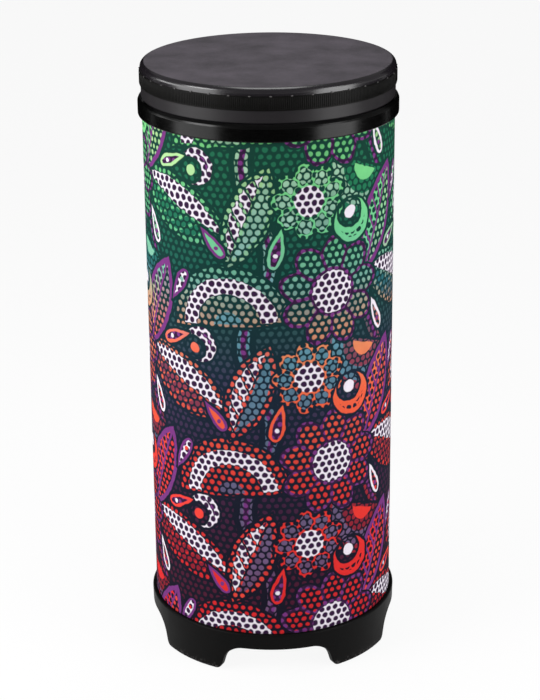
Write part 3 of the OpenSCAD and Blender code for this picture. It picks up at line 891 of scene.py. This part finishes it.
ring_piece("rim_collar",
           [(RIM_IN_R, RIM_Z, 0.18), (COLLAR_R - BEVEL_T, RIM_Z, 0.25),
            (COLLAR_R - 0.7, RIM_Z - 1.75, 0.7), (COLLAR_R, RIM_Z - BEVEL_H, 1.2),
            (COLLAR_R, COLLAR_Z, 1.3), (CHANNEL_R, COLLAR_Z, 0.25),
            (CHANNEL_R, SEAT_LOW, 0.2), (BORE_R, SEAT_LOW, 0.2),
            (BORE_R, SEAT_TOP, 0.3), (RIM_IN_R, SEAT_TOP, 0.3)],
           COLLAR, "shell", "collar_plastic", "top_collar", segments=256)

# Pieces of the head

ring_piece("seat_seal",
           [(SEAL_IN_R, SEAL_Z, 0.35), (SEAL_R, SEAL_Z, 0.35),
            (SEAL_R, SEAL_TOP, 0.1), (SEAL_IN_R, SEAL_TOP, 0.1)],
           FOAM, "head", "gasket_foam", "seat_gasket")

CREST_FALL = (CREST_R - RING_IN_R) * math.tan(math.radians(CREST_SLOPE))
SPIGOT_TOP = RING_Z + SPIGOT_WEB
ring_piece("head_ring",
           [(SPIGOT_R, SPIGOT_Z, 0.8), (SPIGOT_R, RING_Z, 0.2),
            (NECK_R, RING_Z, 0.4), (NECK_R, NECK_TOP, 0.4),
            (RING_R, NECK_TOP, 0.35), (RING_R, RING_TOP, 4.5),
            (CREST_R, RING_TOP, 0.25), (RING_IN_R, RING_TOP - CREST_FALL, 0.4),
            (RING_IN_R, SPIGOT_TOP, 0.8), (SPIGOT_IN_R, SPIGOT_TOP, 0.8), (SPIGOT_IN_R, SPIGOT_Z, 0.5)],
           RING, "head", "ring_plastic", "tension_ring", segments=256)

SKIN_IN_R, SKIN_UNDER = SKIN_R - SKIN_T, SKIN_TOP - SKIN_T
ring_piece("head_skin",
           [(0, SKIN_TOP, 0), (40, SKIN_TOP, 0), (80, SKIN_TOP, 0), (SKIN_R, SKIN_TOP, SHOULDER),
            (SKIN_R, SKIN_TAIL, 0.1), (SKIN_IN_R, SKIN_TAIL, 0.1),
            (SKIN_IN_R, SKIN_UNDER, SHOULDER - SKIN_T),
            (80, SKIN_UNDER, 0), (40, SKIN_UNDER, 0), (0, SKIN_UNDER, 0)],
           SKIN, "head", "skin_film", "drum_skin", segments=256)
ring_piece("hoop_band",
           [(RING_R + GLUE, HOOP_Z, 0.15), (HOOP_R, HOOP_Z, 0.3),
            (HOOP_R, HOOP_TOP, 0.2), (HOOP_IN_R, HOOP_TOP, 0.1),
            (HOOP_IN_R, HOOP_Z + HOOP_TURN, 0.1), (RING_R + GLUE, HOOP_Z + HOOP_TURN, 0.1)],
           HOOP, "head", "hoop_metal", "crimp_hoop", segments=256)
repeated("hoop_ribs", rib_mesh(), RIBS, HOOP_R, HOOP_Z, HOOP, "head", "hoop_metal")
repeated("hoop_nubs", nub_mesh(), NUBS, HOOP_R + 0.1, HOOP_TOP, NUB_GLINT, "head", "hoop_metal",
         start=math.radians(-91))

# Nodes that stay as they are
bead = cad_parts["lock_bead"]
bead.data.materials.clear()
bead.data.materials.append(BEAD)

# Stage, light and camera, in metres. Azimuth 0 is the camera's side, and left is negative.

# Half size of the floor, and where its painted pool of light starts to fade, where it ends, and how dim
# it ends
FLOOR_HALF, FADE_START, FADE_END, FADE_LOW = 14.0, 3.4, 10.0, 0.11


def floor_material():
    """Pale matt paint that takes the drum's shadow, and shows white to camera and mirrored rays
    by a white glow that is even near the drum and fades to dim far off: a painted pool of light.
    """
    mat, net, shader = material("floor_paint")
    tint = net.use(MOTTLE, Scale=3.0, Spread=0.6)["Amount"]
    net.put(shader["Base Color"], net.mix(tint, (0.8, 0.8, 0.8, 1), (0.84, 0.84, 0.84, 1)))
    shader["Roughness"].default_value = 0.9
    shader["Specular IOR Level"].default_value = 0.1
    ray = net.node("ShaderNodeLightPath").outputs
    mirrored = net.math("MAXIMUM", ray["Is Glossy Ray"], ray["Is Transmission Ray"])
    seen = net.math("MAXIMUM", ray["Is Camera Ray"], mirrored)
    # Painted pool of light: the glow is full near the axis and fades to FADE_LOW far off
    near = net.between(net.vector("LENGTH", net.coords()), FADE_START, FADE_END, 1.0, FADE_LOW)
    share = net.math("MULTIPLY", seen, net.math("MULTIPLY", near, 0.92))
    white = net.node("ShaderNodeEmission", {"Color": (1.0, 1.0, 1.0, 1.0), "Strength": 1.0})
    paint = mat.node_tree.nodes["Principled BSDF"]
    both = net.node("ShaderNodeMixShader", {0: share, 1: paint.outputs[0], 2: white.outputs[0]})
    net.put(mat.node_tree.nodes["Material Output"].inputs["Surface"], both.outputs[0])
    return mat


def staged(name, bm, finish):
    """Puts a mesh on the stage, outside the object."""
    obj = bpy.data.objects.new(name, mesh_from(bm, name))
    obj.data.materials.append(finish)
    bpy.context.scene.collection.objects.link(obj)
    return obj


ground = bmesh.new()
bmesh.ops.create_grid(ground, x_segments=8, y_segments=8, size=FLOOR_HALF)
staged("floor", ground, floor_material())

world = bpy.data.worlds.new("studio")
world.use_nodes = True
world.node_tree.nodes["Background"].inputs["Color"].default_value = (1.0, 1.0, 1.0, 1.0)
world.node_tree.nodes["Background"].inputs["Strength"].default_value = 0.25
bpy.context.scene.world = world


def around(azimuth, distance, height=0.0):
    """The point at an azimuth in degrees and a distance from the axis."""
    turn = math.radians(azimuth)
    return Vector((distance * math.sin(turn), -distance * math.cos(turn), height))


AIM = Vector((0, 0, 0.5))


def softbox(name, azimuth, distance, height, width, tall, power):
    """A soft panel that faces the middle of the drum."""
    data = bpy.data.lights.new(name, "AREA")
    data.shape = "RECTANGLE"
    data.size, data.size_y, data.energy = width, tall, power
    lamp = bpy.data.objects.new(name, data)
    lamp.location = around(azimuth, distance, height)
    lamp.rotation_mode = "QUATERNION"
    lamp.rotation_quaternion = (AIM - lamp.location).to_track_quat("-Z", "Y")
    lamp.visible_camera = False
    bpy.context.scene.collection.objects.link(lamp)


# Name, azimuth, distance, height, width, tallness and power
softbox("panel_left", -66, 1.0, 0.45, 0.75, 0.76, 7.2)
softbox("panel_right", 57, 1.0, 0.45, 0.65, 0.76, 8.2)
softbox("panel_top", 180, 0.02, 1.75, 0.7, 0.7, 7.8)
softbox("strip_left", -64, 1.2, 1.05, 0.6, 0.24, 7.2)
softbox("strip_right", 54, 1.2, 0.98, 0.4, 0.2, 1.7)
softbox("strip_far", -98, 1.2, 0.62, 0.5, 0.24, 2.4)

# Black for sheets that only the drum's gloss shows: painted dark reflections
REFLECTION_BLACK = moulded("reflection_black", srgb(4, 4, 4), srgb(7, 7, 7), 0.9, 1.0, grain=300.0, lift=0.1, specular=0.0)


def reflection_shade(name, bm):
    """Puts up a black sheet that only the drum's gloss shows: a painted dark reflection, hidden from the
    camera and from diffuse light, and casting no shadow.
    """
    obj = staged(name, bm, REFLECTION_BLACK)
    obj.visible_camera = obj.visible_diffuse = obj.visible_shadow = False


def reflection_card(azimuth, distance, width, tall):
    """An upright sheet that stands on the floor and faces the axis, for a painted dark reflection in the
    drum's gloss.
    """
    bm = bmesh.new()
    middle = around(azimuth, distance)
    half = around(azimuth + 90, width / 2)
    rise = Vector((0, 0, tall))
    corners = (middle - half, middle + half, middle + half + rise, middle - half + rise)
    bm.faces.new([bm.verts.new(corner) for corner in corners])
    return bm


def reflection_apron(inner, outer, reach, steps=24):
    """A sheet that lies on the floor before the drum, as far round as reach on each side, for a painted
    dark reflection in the drum's gloss.
    """
    bm = bmesh.new()
    rows = []
    for i in range(steps + 1):
        azimuth = reach * (2 * i / steps - 1)
        rows.append([bm.verts.new(around(azimuth, r, 0.002)) for r in (inner, outer)])
    for row, after in zip(rows, rows[1:]):
        bm.faces.new((row[0], after[0], after[1], row[1]))
    return bm


# Painted dark reflections: black sheets before the drum and behind it at either side, seen only in its
# gloss
reflection_shade("reflection_apron", reflection_apron(0.8, 4.0, 120.0))
reflection_shade("reflection_card_left", reflection_card(-145, 1.0, 0.93, 1.0))
reflection_shade("reflection_card_right", reflection_card(145, 1.0, 0.93, 1.0))

# The camera stands a little to the left, looks down, and leans by a hair
LENS, SENSOR = 102.65, 36.0
EYE_TURN, EYE_AWAY, EYE_HIGH = -2.0, 1.6975, 0.9198
EYE_TILT, EYE_PAN, EYE_ROLL = math.radians(20.88), 0.00038, -0.0095
eye = bpy.data.cameras.new("eye")
eye.lens, eye.sensor_width, eye.sensor_fit = LENS, SENSOR, "AUTO"
camera = bpy.data.objects.new("eye", eye)
camera.location = around(EYE_TURN, EYE_AWAY, EYE_HIGH)
pan = math.radians(EYE_TURN) + EYE_PAN
level = Vector((-math.sin(pan), math.cos(pan), 0)) * math.cos(EYE_TILT)
look = level - Vector((0, 0, math.sin(EYE_TILT)))
camera.rotation_mode = "QUATERNION"
camera.rotation_quaternion = look.to_track_quat("-Z", "Y") @ Quaternion((0, 0, 1), EYE_ROLL)
bpy.context.scene.collection.objects.link(camera)
bpy.context.scene.camera = camera

bpy.context.scene.view_settings.view_transform = "Standard"
